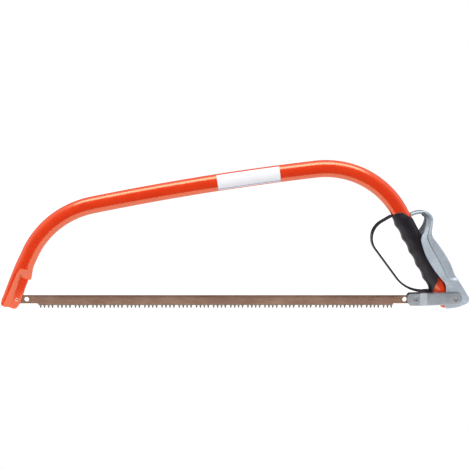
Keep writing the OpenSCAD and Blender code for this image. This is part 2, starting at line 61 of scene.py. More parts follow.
# Frame tube: drawn steel tube, bent twice cold, its front end pressed flat over the blade and its
# rear leg necked for the grip. It is powder coated red-orange after forming, all in one piece.
# Sizes are in mm and degrees from here on, and points are (x, z) in the saw's middle plane.
MM = 0.001
pin_front = np.array([-332.2, 14.0])
pin_rear = np.array([274.8, 14.0])
fulcrum = pin_rear + [47.0, -0.5]
tube_depth, tube_width, tube_wall = 25.5, 17.0, 1.4
front_lean, front_leg, front_bend_r, crown_bow = 64.3, 72.1, 136.0, 4.8
rear_bend_r, rear_lean, rear_leg = 131.0, 60.0, 155.8
pin_to_line = 10.6


def unit(a):
    """Unit vector at angle a in degrees."""
    return np.array([np.cos(np.radians(a)), np.sin(np.radians(a))])


def left(a):
    """Unit vector to the left of heading a."""
    return np.array([-np.sin(np.radians(a)), np.cos(np.radians(a))])


def bend_step(a, turn, r):
    """Step along an arc of radius r that starts on heading a and turns clockwise by turn."""
    s, e = np.radians(a), np.radians(a - turn)
    return r * np.array([np.sin(s) - np.sin(e), np.cos(e) - np.cos(s)])


leg_foot = pin_front + pin_to_line * left(front_lean)
leg_top = leg_foot + front_leg * unit(front_lean)
rear_top = fulcrum + rear_leg * unit(180 - rear_lean)
# The crown's mean slope is the one at which its chord joins the two bends
slope = 0.0
for _ in range(12):
    front_turn, rear_turn = front_lean - slope - crown_bow / 2, slope - crown_bow / 2 + rear_lean
    chord = (rear_top - leg_top - bend_step(front_lean, front_turn, front_bend_r)
             - bend_step(rear_turn - rear_lean, rear_turn, rear_bend_r))
    slope = math.degrees(math.atan2(chord[1], chord[0]))
crown_r = np.linalg.norm(chord) / (2 * math.sin(math.radians(crown_bow / 2)))
crown_len = crown_r * math.radians(crown_bow)
# Lengths along the tube at which the crown, the rear bend and the rear leg start
crown_at = front_leg + front_bend_r * math.radians(front_turn)
rear_bend_at = crown_at + crown_len
rear_leg_at = rear_bend_at + rear_bend_r * math.radians(rear_turn)


def path_point(s):
    """Middle line of the tube at length s from the front leg's foot: straight, arc, flat arc, arc,
    straight. Returns the points and the headings in degrees."""
    ends = np.array([front_leg, crown_at, rear_bend_at, rear_leg_at])
    spans = [(leg_foot, front_lean, None)]
    start, heading = leg_top, front_lean
    for turn, r in ((front_turn, front_bend_r), (crown_bow, crown_r), (rear_turn, rear_bend_r)):
        spans.append((start, heading, r))
        start, heading = start + bend_step(heading, turn, r), heading - turn
    spans.append((start, heading, None))
    span = np.searchsorted(ends, s, side="right")
    along = s - np.concatenate([[0.0], ends])[span]
    points, headings = np.zeros((len(s), 2)), np.zeros(len(s))
    for k, (p, a, r) in enumerate(spans):
        m = span == k
        if r is None:
            points[m] = p + along[m, None] * unit(a)
            headings[m] = a
        else:
            t = np.degrees(along[m] / r)
            points[m] = p + np.stack(bend_step(a, t, r), axis=-1)
            headings[m] = a - t
    return points, headings


def smooth(t):
    """Smooth step: 0 below 0, 1 above 1, and 3t^2 - 2t^3 between."""
    t = np.clip(t, 0, 1)
    return t * t * (3 - 2 * t)


def dome(q):
    """Height of a unit half circle at distance q from its middle."""
    return np.sqrt(np.maximum(0, 1 - q * q))


# The front end: above press_top the tube is plain, and below press_low it is a round lobe in front
# and a flat tongue behind it, whose two lips stand apart up to lip_end. The inner edge is back at the
# plain tube's 8 mm below press_top.
press_top, press_low, press_blend, inner_top = 67.0, 35.0, 15.0, 8.0
lobe_r, lobe_half, tongue_half, tongue_edge = 6.9, 7.3, 2.7, 3.0
lip_half, lip_end = 2.1, 17.0
# Reaches from the middle line: behind it in the pressed end, and before it at the foot, from where it
# grows to a faint swell at swell_at
pressed_inner, foot_outer, foot_start, swell, swell_at = 17.1, 9.6, -10, 0.35, 48.0
# The rear leg is necked by 1.4 mm all round from 139 mm above the fulcrum
neck, neck_step, neck_at = 1.4, 1.2, rear_leg_at + rear_leg - 139.0


def reaches(s):
    """How far the section reaches before and behind the middle line: before it, a power curve from the
    foot up to a faint swell; behind it, a smooth step from the pressed edge to the tube."""
    half = tube_depth / 2
    front = foot_outer + (half + swell - foot_outer) * np.clip((s - foot_start) / (swell_at - foot_start), 0, 1) ** 0.6
    front = front - swell * smooth((s - swell_at) / (press_top - swell_at))
    return front, pressed_inner + (half - pressed_inner) * smooth((s - press_low) / (press_top - press_low - inner_top))


def tube_section(s, a):
    """Outer surface at path length s and section angle a: an ellipse (depth cos a, width sin a), which
    blends below press_top into a round lobe in front and a flat tongue behind it, and which is
    smaller by the neck under the grip. Returns the offset across the path and the half width."""
    out, inn = reaches(s)
    n = (out - inn) / 2 + (out + inn) / 2 * np.cos(a)
    lobe = lobe_half * dome((n - out) / lobe_r + 1)
    tongue = tongue_half * dome(np.maximum(0, np.maximum(-n - inn, n - out) + tongue_edge) / tongue_edge)
    # The two lips stay apart by more than the blade
    tongue = np.where((s < lip_end) & (n < 0), np.maximum(tongue, lip_half), tongue)
    pressed = (lobe ** 3 + tongue ** 3) ** (1 / 3)
    f = 1 - smooth((s - press_low) / press_blend)
    small = neck * smooth((s - neck_at) / neck_step)
    n = n * (1 - small / (tube_depth / 2))
    y = (1 - f) * (tube_width / 2 - small) * np.abs(np.sin(a)) + f * pressed
    return n, np.sign(np.sin(a)) * y


def grid_quads(rows, cols, wrap_u=False, wrap_v=False):
    """Quads of point numbers, one per cell of a grid, with the last row or column joined to the
    first where wrap is set."""
    i, j = np.meshgrid(np.arange(rows if wrap_u else rows - 1), np.arange(cols if wrap_v else cols - 1), indexing="ij")
    i2, j2 = (i + 1) % rows, (j + 1) % cols
    return np.stack([i * cols + j, i2 * cols + j, i2 * cols + j2, i * cols + j2], axis=-1).reshape(-1, 4)


def plain_mesh(name, points, quads):
    """Smooth-shaded object from points in mm and quads of point numbers."""
    mesh = bpy.data.meshes.new(name)
    mesh.from_pydata(np.asarray(points, float) * MM, [], quads.tolist())
    mesh.validate()
    mesh.shade_smooth()
    piece = bpy.data.objects.new(name, mesh)
    bpy.context.scene.collection.objects.link(piece)
    return piece


def grid_mesh(name, points, wrap_u=False, wrap_v=False):
    """Object from an array of points in mm (rows, columns, 3), with a quad in each cell of the grid."""
    return plain_mesh(name, points.reshape(-1, 3), grid_quads(*points.shape[:2], wrap_u, wrap_v))


def close_up(piece, merge=0.02):
    """Joins points less than merge apart, drops faces without area and turns the faces outwards."""
    b = bmesh.new()
    b.from_mesh(piece.data)
    bmesh.ops.remove_doubles(b, verts=b.verts, dist=merge * MM)
    bmesh.ops.dissolve_degenerate(b, edges=b.edges, dist=1e-7)
    bmesh.ops.recalc_face_normals(b, faces=b.faces)
    b.to_mesh(piece.data)
    b.free()
    piece.data.shade_smooth()


def thicken(piece, thickness, offset=-1.0, bevel=0.0, segments=2):
    """Gives a sheet its wall, inwards or with offset 0 to both sides, and rounds the wall's edges."""
    wall = piece.modifiers.new("wall", "SOLIDIFY")
    wall.thickness = thickness * MM
    wall.offset = offset
    if bevel:
        edge = piece.modifiers.new("edge", "BEVEL")
        edge.width = bevel * MM
        edge.segments = segments
        edge.limit_method = "ANGLE"
        edge.angle_limit = math.radians(50)


# The line of the foot, as (across the path, along it), and that of the slot which opens the inner
# side of the pressed end for the blade, as (along the path, across it)
foot_line = np.array([[-18, -3], [-16.3, -7], [-15.6, -12.6], [-12.3, -15.2], [1.5, -16.7], [6.1, -16.4],
                      [8, -14.4], [9.65, -9.6], [10.1, -8.5]])
slot_line = np.array([[-20, -17.05], [-1, -17.05], [10.1, -15.5], [20.6, -14.4], [36.2, -13.6], [37.0, -18.4],
                      [60, -18.4]])
foot_at, slot_end = -3.0, 36.0
round_steps = 72


def pressed_grid():
    """Lower part of the tube. The section angle runs round the front from one lip of the slot to the
    other: the lips lie where the section meets the slot line. The rings at foot_at are stretched
    down, the lowest as far as the line of the foot."""
    s = np.concatenate([np.full(14, foot_at), foot_at + (slot_end - foot_at) * np.linspace(0.02, 1, 22),
                        slot_end + np.linspace(0.25, 1, 4), np.linspace(slot_end + 1.6, press_top, 24)])[:, None]
    stretch = np.concatenate([np.linspace(1, 0, 14), np.zeros(len(s) - 14)])[:, None]
    out, inn = reaches(s)
    lip = np.interp(s, slot_line[:, 0], slot_line[:, 1])
    a = np.linspace(-1, 1, round_steps + 1) * np.arccos(np.clip((lip - (out - inn) / 2) * 2 / (out + inn), -1, 1))
    n, y = tube_section(s, a)
    s = s + (np.interp(n, foot_line[:, 0], foot_line[:, 1]) - foot_at) * stretch
    p = leg_foot + s[..., None] * unit(front_lean) + n[..., None] * left(front_lean)
    return np.stack([p[..., 0], y, p[..., 1]], axis=-1)


def tube_grid():
    """The round part of the tube: the section carried along the path, at a step of about 3 mm. It ends
    past the fulcrum, cut off level at height cut_at."""
    past_fulcrum, cut_at = 21.0, 1.8
    s = np.concatenate([np.linspace(press_top, neck_at - 1, 300), np.linspace(neck_at - 0.6, neck_at + 2, 8),
                        np.linspace(neck_at + 8, rear_leg_at + rear_leg + past_fulcrum, 40)])
    p, heading = path_point(s)
    ss, aa = np.meshgrid(s, np.linspace(-np.pi, np.pi, round_steps + 1), indexing="ij")
    n, y = tube_section(ss, aa)
    h = np.radians(heading)[:, None]
    x = p[:, :1] - np.sin(h) * n
    z = p[:, 1:] + np.cos(h) * n
    low = (z < cut_at) & (ss > rear_leg_at)
    x = np.where(low, x + (z - cut_at) / math.tan(math.radians(rear_lean)), x)
    z = np.where(low, cut_at, z)
    return np.stack([x, y, z], axis=-1)


frame_tube = grid_mesh("frame_tube_paint", np.concatenate([pressed_grid(), tube_grid()[1:]]))
close_up(frame_tube)
thicken(frame_tube, tube_wall, bevel=0.25)


def srgb(code):
    """Linear colour of an sRGB hex code."""
    c = np.array([int(code[k:k + 2], 16) / 255 for k in (0, 2, 4)])
    return tuple(np.where(c <= 0.04045, c / 12.92, ((c + 0.055) / 1.055) ** 2.4).tolist()) + (1.0,)


def scale(size):
    """Scale of a noise on Object coordinates whose grains are size mm across."""
    return 1000 / size


def new_material(name):
    """Material without nodes."""
    material = bpy.data.materials.new(name)
    material.use_nodes = True
    material.node_tree.nodes.clear()
    return material


def add(owner, kind, links=(), stops=(), **settings):
    """Adds a node to a material or world. links are (own input, other node, its output) or (own input,
    value), settings are socket values or node properties, with underscores for spaces, and stops are
    a colour ramp's (place, colour)."""
    node = owner.node_tree.nodes.new(kind)
    for key, value in settings.items():
        label = key.replace("_", " ")
        if label in node.inputs:
            node.inputs[label].default_value = value
        else:
            setattr(node, key, value)
    for own, source, *output in links:
        if output:
            owner.node_tree.links.new(node.inputs[own], source.outputs[output[0]])
        else:
            node.inputs[own].default_value = source
    if stops:
        elements = node.color_ramp.elements
        while len(elements) < len(stops):
            elements.new(0.5)
        for element, (at, colour) in zip(elements, stops):
            element.position, element.color = at, colour
    return node


# Powder coat over steel: a glossy clear-topped orange-red that mirrors the lights as warm stripes. It
# has faint clouds of 26 mm, and an orange peel of 2.4 mm that only softens the gloss. Its IOR is above
# the usual 1.5, because the stripes on the real tube are as strong as that.
paint = new_material("powder_coat_red_orange")
place = add(paint, "ShaderNodeTexCoord")
cloud = add(paint, "ShaderNodeTexNoise", [("Vector", place, "Object")], Scale=scale(26.3), Detail=5.0, Roughness=0.6)
tint = add(paint, "ShaderNodeValToRGB", [("Fac", cloud, "Fac")], [(0.3, srgb("E62E0A")), (0.7, srgb("EE380E"))])
rough = add(paint, "ShaderNodeMapRange", [("Value", cloud, "Fac")], To_Min=0.15, To_Max=0.24)
peel = add(paint, "ShaderNodeTexNoise", [("Vector", place, "Object")], Scale=scale(2.38), Detail=1.0)
bump = add(paint, "ShaderNodeBump", [("Height", peel, "Fac")], Strength=0.03, Distance=0.0004)
coat = add(paint, "ShaderNodeBsdfPrincipled",
           [("Base Color", tint, "Color"), ("Roughness", rough, "Result"), ("Normal", bump, "Normal")],
           IOR=1.8, Specular_IOR_Level=1.0, Specular_Tint=srgb("FFDAA0"),
           Coat_Weight=0.65, Coat_Roughness=0.1, Coat_IOR=1.5)
add(paint, "ShaderNodeOutputMaterial", [("Surface", coat, "BSDF")])
frame_tube.data.materials.append(paint)
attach(frame_tube, "frame")
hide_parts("frame_tube")


# Front blade pin: a rolled spring pin of steel strip, driven through the pressed end. It is hollow,
# with a slit down its length and chamfered rims.
spring_r, spring_wall, spring_chamfer, slit = 2.3, 0.8, 0.35, 24
spring_half = tongue_half + 1.3


def spring_pin():
    """A C-shaped wall carried across the saw: the section angle leaves out the slit, and the radius
    drops by the chamfer at both ends."""
    inner, flank = spring_r - spring_wall, spring_half - spring_chamfer
    y = np.array([-spring_half, -spring_half, -flank, flank, spring_half, spring_half])[:, None]
    r = np.array([inner, spring_r - spring_chamfer, spring_r, spring_r, spring_r - spring_chamfer, inner])[:, None]
    a = np.radians(np.linspace(slit / 2, 360 - slit / 2, 49))
    return np.stack([pin_front[0] + r * np.cos(a), y + 0 * a, pin_front[1] + r * np.sin(a)], axis=-1)


front_pin = grid_mesh("front_spring_pin", spring_pin(), wrap_u=True)
close_up(front_pin)

# Drawn spring strip with a yellow passivation: a warm metal, duller than a bare one because of the film on it, with
# handling marks of 1.4 mm. Its colour is painted far paler than the rivets' steel, a painted highlight that stands in
# for the gleam on the pin's end.
pin_strip_painted_highlight = new_material("spring_steel_painted_highlight")
place = add(pin_strip_painted_highlight, "ShaderNodeTexCoord")
marks = add(pin_strip_painted_highlight, "ShaderNodeTexNoise", [("Vector", place, "Object")], Scale=scale(1.43), Detail=4.0)
# Painted highlight: this pale cream ramp stands in for the gleam on the end of the pin
shade = add(pin_strip_painted_highlight, "ShaderNodeValToRGB", [("Fac", marks, "Fac")], [(0.3, srgb("D8CFB4")), (0.7, srgb("F0E9D6"))])
metal = add(pin_strip_painted_highlight, "ShaderNodeBsdfPrincipled", [("Base Color", shade, "Color")], Metallic=0.6, Roughness=0.4)
add(pin_strip_painted_highlight, "ShaderNodeOutputMaterial", [("Surface", metal, "BSDF")])
front_pin.data.materials.append(pin_strip_painted_highlight)
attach(front_pin, "frame")
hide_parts("front_blade_pin")


# Saw blade: a strip of hardened spring steel 0.9 mm thick, with groups of four peg teeth that are
# punched, ground and set to alternate sides. Its ends are plain and have two holes each.
blade_t, tang_low, blade_back, root_z, hole_r = 0.9, 7.5, 20.5, 4.3, 3.5
tooth_pitch, group_pitch, groups, tooth_set = 5.95, 26.2, 21, 0.4
first_tooth, last_tooth = pin_front[0] + 34.4, pin_rear[0] - 37.0
# The rear end hole is 0.75 mm behind the rivet's axis, so that the rivet stays inside it over the
# lever's whole travel
end_hole = pin_rear[0] + 0.75
blade_holes = [pin_front[0], pin_front[0] + 14.1, end_hole - 17.4, end_hole]
blade_x0, blade_x1 = pin_front[0] - 7.5, end_hole + 7.5
tooth_x = (first_tooth + group_pitch * np.arange(groups)[:, None] + tooth_pitch * np.arange(4)).ravel()
tooth_x = tooth_x[tooth_x <= last_tooth + 0.5]


def hole_patch(cx, x_low, x_high, rays=48, rings=4):
    """Flat ring of quads between a round hole and the rectangle of blade round it: the radius runs
    from the hole's to the rectangle's edge along each ray."""
    cz = pin_front[1]
    a = np.radians(np.linspace(0, 360, rays, endpoint=False))
    d = np.stack([np.cos(a), np.sin(a)])
    reach_x = np.where(d[0] > 0, x_high - cx, cx - x_low) / np.maximum(np.abs(d[0]), 1e-9)
    reach_z = np.where(d[1] > 0, blade_back - cz, cz - tang_low) / np.maximum(np.abs(d[1]), 1e-9)
    far = np.minimum(reach_x, reach_z)
    # The ray nearest each corner is moved into it
    for px in (x_high - cx, x_low - cx):
        for pz in (blade_back - cz, tang_low - cz):
            k = np.argmin(np.abs(np.angle(np.exp(1j * (a - math.atan2(pz, px))))))
            far[k] = math.hypot(px, pz)
            d[:, k] = np.array([px, pz]) / far[k]
    r = hole_r + (far - hole_r) * np.linspace(0, 1, rings + 1)[:, None]
    return np.stack([cx + r * d[0], 0 * r, cz + r * d[1]], axis=-1)


def tooth_line():
    """Lower edge of the toothed length: x, z and sideways set of each point, from the first tooth to
    the last. Each peg tooth has steep flanks from its root to its shoulders and then narrows to a
    point, which is set to one side. Two points on a raised gullet lie between teeth."""
    gullet, gullet_half, tooth = 0.4, 2.0, len(tooth_x)
    across = np.array([-1.5, -1.42, -1.3, -0.35, 0.35, 1.3, 1.42, 1.5])
    height = np.array([root_z, 3.2, 1.9, 0.0, 0.0, 1.9, 3.2, root_z, root_z + gullet, root_z + gullet])
    share = np.array([0.0, 0.25, 0.55, 1.0, 1.0, 0.55, 0.25, 0.0, 0.0, 0.0])
    c = tooth_x[:, None]
    x = np.concatenate([c + across, c + gullet_half, np.roll(c, -1) - gullet_half], axis=1)
    z = np.tile(height, (tooth, 1))
    set_y = share * (tooth_set * (-1.0) ** np.arange(tooth))[:, None]
    # No gullet follows the last tooth, and slopes lead from the plain ends to the first and last
    x, z, set_y = (q.ravel()[:-2] for q in (x, z, set_y))
    x = np.concatenate([[first_tooth - 5.0, first_tooth - 1.8], x, [last_tooth + 1.8, last_tooth + 3.2]])
    z = np.concatenate([[tang_low, root_z], z, [root_z, tang_low]])
    return x, z, np.concatenate([[0, 0], set_y, [0, 0]])


def blade_sheet():
    """Middle surface of the blade as points and quads: patches round the holes, plain strips, and
    columns of quads from the toothed edge up to the back."""
    mid_front = (blade_holes[0] + blade_holes[1]) / 2
    mid_rear = (blade_holes[2] + blade_holes[3]) / 2
    edge_front, edge_rear = blade_holes[1] + 7.0, blade_holes[2] - 7.0
    lows = (blade_x0, mid_front, edge_rear, mid_rear)
    highs = (mid_front, edge_front, mid_rear, blade_x1)
    x, z, set_y = tooth_line()
    x = np.concatenate([[edge_front], x, [edge_rear]])
    z = np.concatenate([[tang_low], z, [tang_low]])
    set_y = np.concatenate([[0], set_y, [0]])
    start = np.maximum(z, root_z) + 1.3
    z = np.concatenate([z[None], start + (blade_back - start) * np.array([0.0, 0.12, 0.4, 0.7, 1.0])[:, None]])
    y = np.concatenate([set_y[None], np.zeros((len(z) - 1, len(x)))])
    grids = [(hole_patch(*q), True) for q in zip(blade_holes, lows, highs)]
    grids.append((np.stack([x + 0 * z, y, z], axis=-1), False))
    firsts = np.cumsum([0] + [g.shape[0] * g.shape[1] for g, _ in grids])
    quads = [grid_quads(*g.shape[:2], wrap_v=wrap) + first for (g, wrap), first in zip(grids, firsts)]
    return np.concatenate([g.reshape(-1, 3) for g, _ in grids]), np.concatenate(quads)


blade = plain_mesh("saw_blade_strip", *blade_sheet())
close_up(blade, merge=0.03)
thicken(blade, blade_t, offset=0.0, bevel=0.12, segments=1)

# Hardened and tempered strip: brown-grey from an oiled heat-treatment scale, with streaks along it from
# rolling over blotches of 38 mm, and bare greyer steel on the ground teeth. The streaks are 1.1 by
# 22 mm; real ones are a tenth of that across, and are drawn coarser so that they show.
strip = new_material("tempered_spring_steel_strip")
place = add(strip, "ShaderNodeTexCoord")
rolled = add(strip, "ShaderNodeMapping", [("Vector", place, "Object")], Scale=(0.05, 1.0, 1.0))
streak = add(strip, "ShaderNodeTexNoise", [("Vector", rolled, "Vector")], Scale=scale(1.11), Detail=4.0, Roughness=0.65)
blotch = add(strip, "ShaderNodeTexNoise", [("Vector", place, "Object")], Scale=scale(38.5), Detail=4.0)
mean = add(strip, "ShaderNodeMix", [("A", streak, "Fac"), ("B", blotch, "Fac")], Factor=0.5)
body = add(strip, "ShaderNodeValToRGB", [("Fac", mean, "Result")], [(0.38, srgb("94705F")), (0.62, srgb("B08F7C"))])
apart = add(strip, "ShaderNodeSeparateXYZ", [("Vector", place, "Object")])
above = add(strip, "ShaderNodeMapRange", [("Value", apart, "Z")], From_Min=4.8 * MM, From_Max=6.6 * MM)
ground = add(strip, "ShaderNodeMix", [("Factor", above, "Result"), (6, srgb("86807B")), (7, body, "Color")],
             data_type="RGBA")
rough = add(strip, "ShaderNodeMapRange", [("Value", streak, "Fac")], To_Min=0.34, To_Max=0.5)
bump = add(strip, "ShaderNodeBump", [("Height", streak, "Fac")], Strength=0.12, Distance=0.0002)
metal = add(strip, "ShaderNodeBsdfPrincipled",
            [("Base Color", ground, 2), ("Roughness", rough, "Result"), ("Normal", bump, "Normal")], Metallic=0.75)
add(strip, "ShaderNodeOutputMaterial", [("Surface", metal, "BSDF")])
blade.data.materials.append(strip)
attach(blade, "blade")
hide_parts("saw_blade")


# Link plates: two cranked bars of 2 mm strip, blanked, cranked outwards and zinc plated. They clamp
# the blade's rear end between them and reach back over the lever's cheeks.
link_t, link_half, link_rise, link_lift = 2.0, 10.0, 0.3, 2.4
link_front, crank_at, crank_len, blade_y, cheek_y = -12.8, 6.65, 8.5, 3.0, 11.9
# Chamfers of the front end, as (length, height)
chamfer_top, chamfer_low = (2.8, 3.0), (4.6, 6.2)
rivet_reach = np.array([58.8, 2.0])
link_len = float(np.hypot(*rivet_reach))
link_tilt = math.atan2(rivet_reach[1], rivet_reach[0])


def link_sheet(side):
    """Middle surface of one plate: columns along the bar from its lower to its upper edge, where the
    edge follows the chamfers and the round rear end. Over the crank the plate steps outwards from
    the blade to the cheek and upwards by its lift, both in a straight line with eased ends."""
    tail = link_len - 0.8
    # The columns stand close together over the crank and round the rear end
    x = np.concatenate([
        np.linspace(link_front, link_front + chamfer_low[0], 8), np.linspace(-7.6, 5.5, 10), np.linspace(5.8, 16.2, 40),
        np.linspace(17.5, tail, 20), tail + link_half * np.sin(np.linspace(0.08, np.pi / 2, 18))])
    eased = x[:, None] + [-0.8, -0.4, 0, 0.4, 0.8]
    crank = np.clip((eased - crank_at) / crank_len, 0, 1).mean(axis=1)
    middle = link_rise + link_lift * np.clip((x - crank_at - 0.35) / crank_len, 0, 1)
    round_end = link_half * np.sqrt(np.maximum(0.0004, 1 - (np.maximum(0, x - tail) / link_half) ** 2))
    (top_x, top_z), (low_x, low_z) = chamfer_top, chamfer_low
    top = middle + np.minimum(round_end, link_half - top_z * np.clip((link_front + top_x - x) / top_x, 0, 1))
    bottom = middle - np.minimum(round_end, link_half - low_z * np.clip((link_front + low_x - x) / low_x, 0, 1))
    z = bottom + (top - bottom) * np.linspace(0, 1, 13)[:, None]
    y = side * (blade_y + (cheek_y - blade_y) * crank) + 0 * z
    c, s = math.cos(link_tilt), math.sin(link_tilt)
    return np.stack([pin_rear[0] + c * x - s * z, y, pin_rear[1] + s * x + c * z], axis=-1)


# Zinc plate over cold-rolled strip: a soft grey metal with lines from rolling and faint clouds of
# 17 mm. The lines are 0.9 by 8 mm, drawn coarser than the real ones so that they show.
zinc = new_material("zinc_plated_strip")
place = add(zinc, "ShaderNodeTexCoord")
rolled = add(zinc, "ShaderNodeMapping", [("Vector", place, "Object")], Scale=(0.12, 1.0, 1.0))
lines = add(zinc, "ShaderNodeTexNoise", [("Vector", rolled, "Vector")], Scale=scale(0.91), Detail=3.0)
cloud = add(zinc, "ShaderNodeTexNoise", [("Vector", place, "Object")], Scale=scale(16.7), Detail=3.0)
mean = add(zinc, "ShaderNodeMix", [("A", lines, "Fac"), ("B", cloud, "Fac")], Factor=0.5)
shade = add(zinc, "ShaderNodeValToRGB", [("Fac", mean, "Result")], [(0.36, srgb("A8ADB3")), (0.64, srgb("C6CBD1"))])
bump = add(zinc, "ShaderNodeBump", [("Height", lines, "Fac")], Strength=0.1, Distance=0.0002)
metal = add(zinc, "ShaderNodeBsdfPrincipled", [("Base Color", shade, "Color"), ("Normal", bump, "Normal")],
            Metallic=0.9, Roughness=0.36)
add(zinc, "ShaderNodeOutputMaterial", [("Surface", metal, "BSDF")])

for side, where in ((-1, "near"), (1, "far")):
    plate = grid_mesh("link_plate_%s_strip" % where, link_sheet(side))
    close_up(plate)
    thicken(plate, link_t, offset=0.0, bevel=0.3)
    plate.data.materials.append(zinc)
    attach(plate, "link")
    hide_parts("link_plate_" + where)


# Rivets and pins of the linkage: headed steel, closed by orbital riveting, which leaves a shallow
# dish in each head. The link rivets have their second head inside the lever's cheeks.
rivet = pin_rear + rivet_reach
# Shank radius, head radius and head height of the blade's rivet and of the link rivets
pin_r, pin_head_r, pin_head_h = 2.3, 3.4, 0.8
stud_r, stud_head_r, stud_head_h = 2.5, 3.6, 0.9
fulcrum_r, fulcrum_half, fulcrum_chamfer = 3.0, 10.7, 0.4
# Distances from the middle plane to the outer faces of the plates, at the blade and at the lever
over_blade, over_cheeks = blade_y + link_t / 2, cheek_y + link_t / 2
axis_r = 0.0001


def turned(name, centre, profile, side=1.0, steps=48):
    """Surface of revolution about an axis across the saw: profile is (radius, distance) pairs."""
    r, y = np.array(profile).T[:, :, None]
    a = np.linspace(0, 2 * np.pi, steps, endpoint=False)
    points = np.stack([centre[0] + r * np.cos(a), y * side + 0 * a, centre[1] + r * np.sin(a)], axis=-1)
    piece = grid_mesh(name, points, wrap_v=True)
    close_up(piece)
    return piece


def head(face, r, rim, h):
    """Profile of a head on a shank of radius r that stands h off a face: the flank, the crown rounded
    into it, and the dish, 0.5 mm deep."""
    return [(rim, face), (rim, face + h * 0.3), (rim - 0.35, face + h * 0.75), (rim - 0.9, face + h),
            (r * 0.8, face + h), (r * 0.62, face + h - 0.12), (r * 0.4, face + h - 0.45), (axis_r, face + h - 0.5)]


# Zinc-plated cold-headed steel: a satin neutral metal with handling marks of 1.1 mm
pin_steel = new_material("zinc_plated_pin_steel")
place = add(pin_steel, "ShaderNodeTexCoord")
marks = add(pin_steel, "ShaderNodeTexNoise", [("Vector", place, "Object")], Scale=scale(1.11), Detail=4.0)
shade = add(pin_steel, "ShaderNodeValToRGB", [("Fac", marks, "Fac")], [(0.3, srgb("8E8A8A")), (0.7, srgb("B9B6B6"))])
metal = add(pin_steel, "ShaderNodeBsdfPrincipled", [("Base Color", shade, "Color")], Metallic=1.0, Roughness=0.36)
add(pin_steel, "ShaderNodeOutputMaterial", [("Surface", metal, "BSDF")])

near_head = head(over_blade, pin_r, pin_head_r, pin_head_h)
rear_pin = turned("rear_blade_rivet", pin_rear, [(r, -y) for r, y in reversed(near_head)]
                  + [(pin_r, -over_blade), (pin_r, over_blade)] + near_head)
rear_pin.data.materials.append(pin_steel)
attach(rear_pin, "link")
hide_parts("rear_blade_pin")
# From inside the cheek: the flat inner head, the shank and the dished outer head
stud_profile = [(axis_r, 7.9), (2.9, 7.9), (3.4, 8.2), (3.5, 8.8), (stud_r, 8.8), (stud_r, over_cheeks)]
stud_profile += head(over_cheeks, stud_r, stud_head_r, stud_head_h)
for side, where in ((-1.0, "near"), (1.0, "far")):
    stud = turned("link_rivet_%s_steel" % where, rivet, stud_profile, side)
    stud.data.materials.append(pin_steel)
    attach(stud, "link")
    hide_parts("link_rivet_" + where)
flank = fulcrum_half - fulcrum_chamfer
fulcrum_pin = turned("fulcrum_pin_steel", fulcrum, [
    (axis_r, -fulcrum_half), (fulcrum_r - fulcrum_chamfer, -fulcrum_half), (fulcrum_r, -flank), (fulcrum_r, flank),
    (fulcrum_r - fulcrum_chamfer, fulcrum_half), (axis_r, fulcrum_half)])
fulcrum_pin.data.materials.append(pin_steel)
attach(fulcrum_pin, "frame")
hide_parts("fulcrum_pin")


# Tension lever: one blank of 1.5 mm steel sheet, pressed in a die to a channel with a hooked top,
# flanges that flare round the grip, and flat cheeks at the pivots, then zinc plated.
lever_t, lever_round = 1.5, 3.2
# Sections from the hook to the foot: back edge and front edge from the rear blade pin, half widths at
# the back, the fold and the front edge, and the flange's share of the depth
stations = [
    ((-15.2, 134.3), (-14.8, 129.8), 6.0, 6.0, 6.0, 0.5),
    ((-9.4, 136.6), (-8.8, 132.4), 6.4, 6.4, 6.4, 0.5),
    ((-3.2, 138.2), (-2.6, 133.6), 6.8, 6.8, 6.8, 0.5),
    ((4.8, 138.2), (2.2, 133.4), 6.8, 6.8, 6.8, 0.5),
    ((13.2, 134.8), (5, 129.8), 6.8, 6.8, 6.8, 0.5),
    ((18.8, 127.6), (8.6, 126.2), 6.8, 7, 7, 0.5),
    ((20.3, 117.4), (7.5, 117), 7.4, 8, 9, 0.55),
    ((19.4, 108), (3.5, 105.5), 8.4, 9, 14.2, 0.55),
    ((20.9, 98.4), (0.1, 95.5), 9, 9.6, 16, 0.52),
    ((31.8, 84.7), (6, 76.8), 9.4, 10, 16, 0.5),
    ((43.2, 69), (14.2, 61.4), 9.8, 10.4, 16, 0.5),
    ((52.4, 52.9), (24.6, 46.8), 10.2, 10.6, 15.6, 0.46),
    ((58.4, 39.4), (33.9, 36), 10.4, 10.5, 12.6, 0.42),
    ((67.1, 26.4), (42.3, 26), 10.5, 10.5, 10.5, 0.4),
    ((74.9, 14.5), (43.8, 13), 10.5, 10.5, 10.5, 0.4),
    ((81.6, 3.4), (42, 0), 10.5, 10.5, 10.5, 0.4),
    ((80.6, -2.4), (45, -12.4), 10.5, 10.5, 10.5, 0.7)]
# Depths of the pressed relief at the back and at the fold, and size of the groove along the fold
relief_web, relief_fold, groove_deep, groove_half = 3.2, 1.2, 0.6, 0.6
foot_bow = 2.6


def spline(values, f):
    """Smooth curve through equally spaced values at places f, cubic between neighbours (Catmull-Rom)."""
    values = np.asarray(values, float)
    k = np.clip(np.floor(f).astype(int), 0, len(values) - 2)
    t = (f - k).reshape(-1, *[1] * (values.ndim - 1))
    a, b, c, d = (values[np.clip(k + m, 0, len(values) - 1)] for m in (-1, 0, 1, 2))
    return 0.5 * (2 * b + (c - a) * t + (2 * a - 5 * b + 4 * c - d) * t ** 2 + (3 * b - a - 3 * c + d) * t ** 3)


